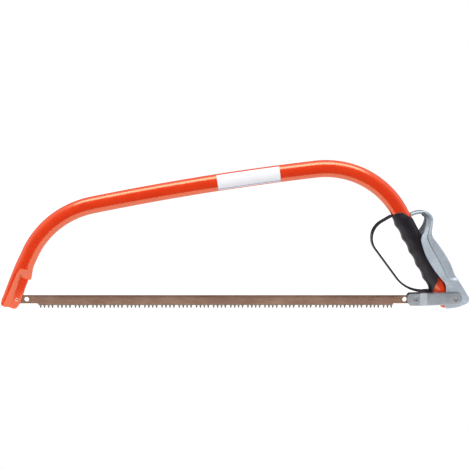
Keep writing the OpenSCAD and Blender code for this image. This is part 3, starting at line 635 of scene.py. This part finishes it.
def lever_sheet(per_station=14):
    """Outer face of the lever: each section runs from one front edge over the rounded back to the other. A half section
    is a flat, a quarter round, a flank that widens to the fold, a groove of bell shape at the fold, and a straight
    flange to the front edge. Returns too how much painted shade each point gets, from 0 to 1: the groove and the curl
    under the hook are darkened as if shade fell in them."""
    # f counts the stations, as do the numbers that say where the relief and the curl begin and end
    f = np.linspace(0, len(stations) - 1, (len(stations) - 1) * per_station + 1)
    back_line, front_line, web, fold, edge, share = (spline(column, f) for column in zip(*stations))
    deep = np.linalg.norm(front_line - back_line, axis=1)[:, None]
    run = (front_line - back_line) / deep
    # The pressed relief fades out at the hook and at the flat pivot cheeks
    f, edge, share = f[:, None], edge[:, None], share[:, None]
    relief = smooth((f - 5.0) / 1.5) * smooth((12.65 - f) / 0.55)
    web, fold = web[:, None] - relief_web * relief, fold[:, None] - relief_fold * relief
    # Distances from the back: r ends the round, m is the fold, and near is the finer mesh round it
    r = np.minimum(lever_round, deep * 0.45)
    m = np.maximum(r + 0.3, deep * (1 - share))
    near = np.minimum(1.6, (m - r) * 0.5)
    d = np.concatenate([r + (m - near - r) * np.linspace(0.2, 0.95, 4), m + near * np.linspace(-1, 1, 9),
                        m + near + (deep - m - near) * np.linspace(0.1, 1, 7)], axis=1)
    w = np.where(d < m, web + (fold - web) * (d - r) / (m - r), fold + (edge - fold) * (d - m) / (deep - m))
    groove = relief * np.exp(-((d - m) / groove_half) ** 2)
    w = w - groove_deep * groove
    # The curl under the hook gets painted shade as the groove does, darkened where it turns away from the light
    curl = smooth((f - 2.2) / 0.8) * smooth((5.6 - f) / 1.6) * smooth((d - m) / 1.5 + 0.4)
    painted_shade = np.maximum(groove, 0.9 * curl)
    # The flat of the back and the round come before these, and the other half mirrors them
    a = np.radians(np.linspace(0, 90, 8))
    flat = (web - r) * np.linspace(0, 0.85, 4)
    d = np.concatenate([0 * flat, r * (1 - np.cos(a)), d], axis=1)
    w = np.concatenate([flat, web - r + r * np.sin(a), w], axis=1)
    painted_shade = np.concatenate([np.zeros((len(f), 12)), painted_shade], axis=1)
    d, w, painted_shade = (np.concatenate([q[:, :0:-1] * sign, q], axis=1) for q, sign in ((d, 1), (w, -1), (painted_shade, 1)))
    # The last section bows down to the round foot
    drop = np.stack([-run[:, 1], run[:, 0]], axis=-1)
    bow = foot_bow * np.clip(f - len(stations) + 2, 0, 1) * np.sin(np.pi * np.clip(d / deep, 0, 1))
    p = back_line[:, None, :] + run[:, None, :] * d[..., None] + drop[:, None, :] * bow[..., None]
    return np.stack([pin_rear[0] + p[..., 0], w, pin_rear[1] + p[..., 1]], axis=-1), painted_shade


lever_points, lever_painted_shade = lever_sheet()
lever = grid_mesh("tension_lever_sheet", lever_points)
# The attribute named fold carries the painted shade of the groove and of the curl under the hook
painted_shade = lever.data.attributes.new("fold", "FLOAT", "POINT")
painted_shade.data.foreach_set("value", lever_painted_shade.ravel().astype(np.float32))
close_up(lever)
thicken(lever, lever_t, bevel=0.25)

# Bright zinc plate on pressed sheet under a clear bluish passivation: half metal and half film, so it
# looks pale and silky and not like a mirror. It has rolling streaks of 1.4 by 14 mm along the lever,
# coarser than real so that they show, and its gloss is cloudy where hands have rubbed it.
bright = new_material("bright_zinc_pressed_sheet")
place = add(bright, "ShaderNodeTexCoord")
rolled = add(bright, "ShaderNodeMapping", [("Vector", place, "Object")],
             Rotation=(0, math.radians(58), 0), Scale=(0.1, 1.0, 1.0))
streak = add(bright, "ShaderNodeTexNoise", [("Vector", rolled, "Vector")], Scale=scale(1.43), Detail=4.0)
cloud = add(bright, "ShaderNodeTexNoise", [("Vector", place, "Object")], Scale=scale(22.2), Detail=4.0)
mean = add(bright, "ShaderNodeMix", [("A", streak, "Fac"), ("B", cloud, "Fac")], Factor=0.5)
shade = add(bright, "ShaderNodeValToRGB", [("Fac", mean, "Result")], [(0.35, srgb("B6C1CD")), (0.65, srgb("CED8E2"))])
# Painted shade: the groove along the pressed fold and the curl under the hook are darkened towards a dark grey,
# standing in for the shade that falls there
fold = add(bright, "ShaderNodeAttribute", attribute_name="fold")
painted_shade_mix = add(bright, "ShaderNodeMix", [("Factor", fold, "Fac"), (6, shade, "Color"), (7, srgb("6E747E"))],
            data_type="RGBA")
rough = add(bright, "ShaderNodeMapRange", [("Value", cloud, "Fac")], To_Min=0.26, To_Max=0.42)
bump = add(bright, "ShaderNodeBump", [("Height", streak, "Fac")], Strength=0.07, Distance=0.0002)
metal = add(bright, "ShaderNodeBsdfPrincipled",
            [("Base Color", painted_shade_mix, 2), ("Roughness", rough, "Result"), ("Normal", bump, "Normal")], Metallic=0.5)
add(bright, "ShaderNodeOutputMaterial", [("Surface", metal, "BSDF")])
lever.data.materials.append(bright)
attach(lever, "lever")
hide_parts("tension_lever")


# Grip: a sleeve of polypropylene, moulded with five finger ridges and a fine spark-eroded grain,
# pushed up over the necked rear leg until its slanted top meets the bend.
grip_low, grip_high, grip_ease = 21.5, rear_leg + 3.4, 14.0
ridge_pitch, ridge_high, ridge_at = 23.6, 1.7, 142.0
# The section: half widths at the top and below it, and reaches before and behind the middle line
half_high, half_low, front_reach, rear_high, rear_low = 9.4, 12.8, 13.6, 13.35, 12.9
# The ends' cuts, as (before the middle line, up the leg)
top_line = np.array([[-16, 134], [-12, 140], [-2, 156.3], [5, 159.0], [16, 159.0]])
low_line = np.array([[-14, 49], [14, 25.4], [18, 28]])


def rear_point(s, n):
    """Point at distance s up the rear leg from the fulcrum and n before its middle line."""
    s, n = np.asarray(s, float)[..., None], np.asarray(n, float)[..., None]
    return fulcrum + s * unit(180 - rear_lean) + n * left(180 - rear_lean)


def grip_shell():
    """Outer face of the grip: a rounded oval section, whose front reach carries the ridges (a raised
    cosine), and whose ends are cut along slanted lines given as distance by offset."""
    a = np.linspace(0, 2 * np.pi, 72, endpoint=False)
    c, e = (np.sign(q) * np.abs(q) ** 0.9 for q in (np.cos(a), np.sin(a)))
    reach = np.where(c > 0, 14.5, 13.0) * c
    s_low = np.interp(reach, low_line[:, 0], low_line[:, 1])
    s_high = np.interp(reach, top_line[:, 0], top_line[:, 1])
    s = s_low + (s_high - s_low) * np.linspace(0, 1, 120)[:, None]
    end, foot = smooth((grip_high - s) / grip_ease), smooth((s - grip_low) / grip_ease)
    w = (half_high + (half_low - half_high) * end) * (0.86 + 0.14 * foot)
    ridges = ridge_high * (0.5 + 0.5 * np.cos(2 * np.pi * (s - ridge_at) / ridge_pitch)) ** 1.5
    n = np.where(c > 0, front_reach + ridges * end, rear_high + (rear_low - rear_high) * end) * c
    p = rear_point(s, n)
    outer = np.stack([p[..., 0], w * e, p[..., 1]], axis=-1)

    def rim(row, beyond):
        """A row drawn in onto the tube, beyond the given last row."""
        inner = rear_point(s[row] + beyond, n[row] * 0.9)
        return np.stack([inner[:, 0], outer[row, :, 1] * 0.88, inner[:, 1]], axis=-1)[None]

    return np.concatenate([rim(0, -0.6), outer, rim(-1, 0.6)])


grip = grid_mesh("grip_sleeve", grip_shell(), wrap_v=True)
close_up(grip)

# Black polypropylene with a spark-eroded grain of 0.7 mm and clouds of 12 mm: it has soft broad
# highlights and is never quite black
grained = new_material("moulded_polypropylene_black")
place = add(grained, "ShaderNodeTexCoord")
cloud = add(grained, "ShaderNodeTexNoise", [("Vector", place, "Object")], Scale=scale(12.5), Detail=4.0)
shade = add(grained, "ShaderNodeValToRGB", [("Fac", cloud, "Fac")], [(0.3, srgb("19141B")), (0.75, srgb("262028"))])
grit = add(grained, "ShaderNodeTexNoise", [("Vector", place, "Object")], Scale=scale(0.667), Detail=3.0)
bump = add(grained, "ShaderNodeBump", [("Height", grit, "Fac")], Strength=0.3, Distance=0.0004)
plastic = add(grained, "ShaderNodeBsdfPrincipled", [("Base Color", shade, "Color"), ("Normal", bump, "Normal")],
              Roughness=0.4, Specular_IOR_Level=0.45, IOR=1.49)
add(grained, "ShaderNodeOutputMaterial", [("Surface", plastic, "BSDF")])
grip.data.materials.append(grained)
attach(grip, "frame")
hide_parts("grip")


# Knuckle guard: a strap of smooth black polypropylene, moulded flat and bent round the hand, its ends
# tucked against the top and the foot of the grip.
strap_t, strap_w, strap_steps = 3.2, 11.0, 160
# Corners of the strap's line, the first and last at the grip, and the radii of the two between them
strap_corners = [rear_point(grip_high - 0.7, 13.85), pin_rear + [-86.0, 104.7], pin_rear + [-17.6, 16.3],
                 rear_point(21.2, 12.4)]
strap_radii = (28.4, 53.6)


def guard_line():
    """Middle line of the strap, through its corners rounded to their radii: points and unit normals."""
    v = strap_corners
    pts = [v[0]]
    for k, r in enumerate(strap_radii, 1):
        h0 = np.degrees(np.arctan2(*(v[k] - v[k - 1])[::-1]))
        h1 = np.degrees(np.arctan2(*(v[k + 1] - v[k])[::-1]))
        turn = (h1 - h0 + 180) % 360 - 180
        start = v[k] - r * math.tan(math.radians(turn / 2)) * unit(h0)
        q = np.linspace(0, 1, 40)
        pts += list(start + r * left(h0) + r * unit(h0 - 90 + turn * q).T)
    pts = np.array(pts + [v[3]])
    s = np.concatenate([[0], np.cumsum(np.linalg.norm(np.diff(pts, axis=0), axis=1))])
    q = np.linspace(0, s[-1], strap_steps)
    line = np.stack([np.interp(q, s, pts[:, 0]), np.interp(q, s, pts[:, 1])], axis=-1)
    tangent = np.gradient(line, axis=0)
    tangent /= np.linalg.norm(tangent, axis=1)[:, None]
    return line, np.stack([-tangent[:, 1], tangent[:, 0]], axis=-1)


def guard_strap():
    """The strap's section, an oblong with rounded corners, carried along the line: powers of the
    cosine and sine that keep their signs. Its ends are closed to their middle points."""
    line, normal = guard_line()
    a = np.linspace(0, 2 * np.pi, 32, endpoint=False)
    n = strap_t / 2 * np.sign(np.cos(a)) * np.abs(np.cos(a)) ** 0.45
    y = strap_w / 2 * np.sign(np.sin(a)) * np.abs(np.sin(a)) ** 0.6
    p = line[:, None, :] + normal[:, None, :] * n[None, :, None]
    body = np.stack([p[..., 0], y + 0 * p[..., 0], p[..., 1]], axis=-1)
    first, last = (np.repeat(body[k].mean(axis=0)[None, None], len(a), axis=1) for k in (0, -1))
    return np.concatenate([first, body, last])


guard = grid_mesh("knuckle_guard_strap", guard_strap(), wrap_v=True)
close_up(guard)

# The same plastic from a polished mould: smoother and glossier than the grip, with clouds of 8 mm
polished = new_material("polished_polypropylene_black")
place = add(polished, "ShaderNodeTexCoord")
cloud = add(polished, "ShaderNodeTexNoise", [("Vector", place, "Object")], Scale=scale(8.33), Detail=4.0)
shade = add(polished, "ShaderNodeValToRGB", [("Fac", cloud, "Fac")], [(0.3, srgb("1E1922")), (0.75, srgb("2C2631"))])
bump = add(polished, "ShaderNodeBump", [("Height", cloud, "Fac")], Strength=0.05, Distance=0.0004)
plastic = add(polished, "ShaderNodeBsdfPrincipled", [("Base Color", shade, "Color"), ("Normal", bump, "Normal")],
              Roughness=0.3, IOR=1.49)
add(polished, "ShaderNodeOutputMaterial", [("Surface", plastic, "BSDF")])
guard.data.materials.append(polished)
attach(guard, "frame")
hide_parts("knuckle_guard")


# Label: printed white vinyl film, stuck round the near flank of the crown. It is left blank but for
# a plain blue rule along its lower edge.
film_t, film_gap = 0.1, 0.18
# It starts 304.3 mm and ends 397.5 mm behind the front pin, given as lengths from the crown's start,
# and it reaches from 58 degrees below the middle of the flank to 60 above it
before_crown = (leg_top + bend_step(front_lean, front_turn, front_bend_r) - pin_front)[0]
film_start, film_end = 304.3 - before_crown, 397.5 - before_crown
film_low, film_high = -58, 60


def label_film():
    """Patch of the tube's ellipse, 0.18 mm proud of it: rows run along the crown, columns round it."""
    p, heading = path_point(crown_at + np.linspace(film_start, film_end, 80))
    v = np.radians(np.linspace(film_low, film_high, 40))
    h = np.radians(heading)[:, None]
    n, y = (tube_depth / 2 + film_gap) * np.sin(v), -(tube_width / 2 + film_gap) * np.cos(v) + 0 * h
    return np.stack([p[:, :1] - np.sin(h) * n, y, p[:, 1:] + np.cos(h) * n], axis=-1)


label_points = label_film()
label = grid_mesh("crown_label_film", label_points)
band = label.data.attributes.new("round", "FLOAT", "POINT")
across = np.linspace(0, 1, label_points.shape[1])
band.data.foreach_set("value", np.tile(across, label_points.shape[0]).astype(np.float32))
thicken(label, film_t, offset=0.0)

# Cast vinyl film, printed and not laminated: a cool white with a satin gloss. The rule lies at 8 to
# 12 percent of the way round.
vinyl = new_material("printed_vinyl_film")
round_at = add(vinyl, "ShaderNodeAttribute", attribute_name="round")
rule = add(vinyl, "ShaderNodeValToRGB", [("Fac", round_at, "Fac")],
           [(0.0, srgb("EEEEF2")), (0.08, srgb("5A78B8")), (0.12, srgb("EEEEF2"))])
rule.color_ramp.interpolation = "CONSTANT"
film = add(vinyl, "ShaderNodeBsdfPrincipled", [("Base Color", rule, "Color")], Roughness=0.4, IOR=1.5)
add(vinyl, "ShaderNodeOutputMaterial", [("Surface", film, "BSDF")])
label.data.materials.append(vinyl)
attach(label, "frame")
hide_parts("frame_label")


# Floor, white surround and soft studio light. The floor lies 50 mm below the teeth, because the
# opened blade swings down past them and the photograph shows the saw free of any support.
floor_z, floor_half, floor_front, floor_back = -50, 3000, -250, 3000
floor = grid_mesh("floor", np.array([[[x, y, floor_z] for x in (-floor_half, floor_half)]
                                     for y in (floor_front, floor_back)], float))
# Matt white board. What is seen of it, and what gloss mirrors, is white by its own glow but for the last
# part, which the lamps add where the saw casts no shadow. The saw gets light from a plain matt floor.
pale = new_material("pale_studio_floor")
ray = add(pale, "ShaderNodeLightPath")
mirrored = add(pale, "ShaderNodeMath", [(0, ray, "Is Glossy Ray"), (1, ray, "Is Transmission Ray")],
               operation="MAXIMUM")
shown = add(pale, "ShaderNodeMath", [(0, ray, "Is Camera Ray"), (1, mirrored, "Value")], operation="MAXIMUM")
matt = add(pale, "ShaderNodeBsdfDiffuse", Color=(0.8, 0.8, 0.8, 1))
faint = add(pale, "ShaderNodeBsdfDiffuse", Color=(0.25, 0.25, 0.25, 1))
glow = add(pale, "ShaderNodeEmission", Strength=0.9)
lit = add(pale, "ShaderNodeAddShader", [(0, glow, "Emission"), (1, faint, "BSDF")])
blend = add(pale, "ShaderNodeMixShader", [("Fac", shown, "Value"), (1, matt, "BSDF"), (2, lit, "Shader")])
add(pale, "ShaderNodeOutputMaterial", [("Surface", blend, "Shader")])
floor.data.materials.append(pale)

# The surround is white where it is seen, and lights the saw evenly. Gloss sees it light at the sides and
# above and dark towards the front and the back, as in a studio with two dark walls, so that round gloss
# gets light and dark stripes. The cosine is that of the angle to straight ahead or straight behind.
sky = bpy.data.worlds.new("studio")
bpy.context.scene.world = sky
sky.use_nodes = True
sky.node_tree.nodes.clear()
ray = add(sky, "ShaderNodeLightPath")
mirrored = add(sky, "ShaderNodeMath", [(0, ray, "Is Glossy Ray"), (1, ray, "Is Transmission Ray")],
               operation="MAXIMUM")
direction = add(sky, "ShaderNodeTexCoord")
toward = add(sky, "ShaderNodeVectorMath", [(0, direction, "Generated"), (1, (0.0, 1.0, 0.1))], operation="DOT_PRODUCT")
cosine = add(sky, "ShaderNodeMath", [(0, toward, "Value")], operation="ABSOLUTE")
dim = add(sky, "ShaderNodeMapRange", [("Value", cosine, "Value")],
          From_Min=0.0, From_Max=0.95, To_Min=0.85, To_Max=0.04, interpolation_type="SMOOTHSTEP")
strength = add(sky, "ShaderNodeMix", [("Factor", mirrored, "Value"), ("B", dim, "Result")], A=0.6)
seen = add(sky, "ShaderNodeMath", [(0, strength, "Result"), (1, ray, "Is Camera Ray")], operation="MAXIMUM")
around = add(sky, "ShaderNodeBackground", [("Strength", seen, "Value")], Color=(1, 1, 1, 1))
add(sky, "ShaderNodeOutputWorld", [("Surface", around, "Background")])

# Lamps, aimed at the saw: place, width, depth, watts, and whether gloss mirrors the lamp
for name, place, width, depth, watts, mirrored in (
        ("softbox", (0.0, -0.85, 1.6), 2.6, 0.85, 27, True), ("fill", (-1.2, -1.2, 0.7), 1.2, 1.2, 4, False),
        ("rim", (0.3, 1.2, 1.3), 1.2, 1.2, 4, False)):
    light = bpy.data.lights.new(name, "AREA")
    light.shape = "RECTANGLE"
    light.size, light.size_y = width, depth
    light.energy = watts
    lamp = bpy.data.objects.new(name, light)
    lamp.location = place
    lamp.rotation_euler = (Vector((0, 0, 0.1)) - Vector(place)).to_track_quat("-Z", "Y").to_euler()
    lamp.visible_glossy = mirrored
    bpy.context.scene.collection.objects.link(lamp)

bpy.context.scene.view_settings.view_transform = "Standard"
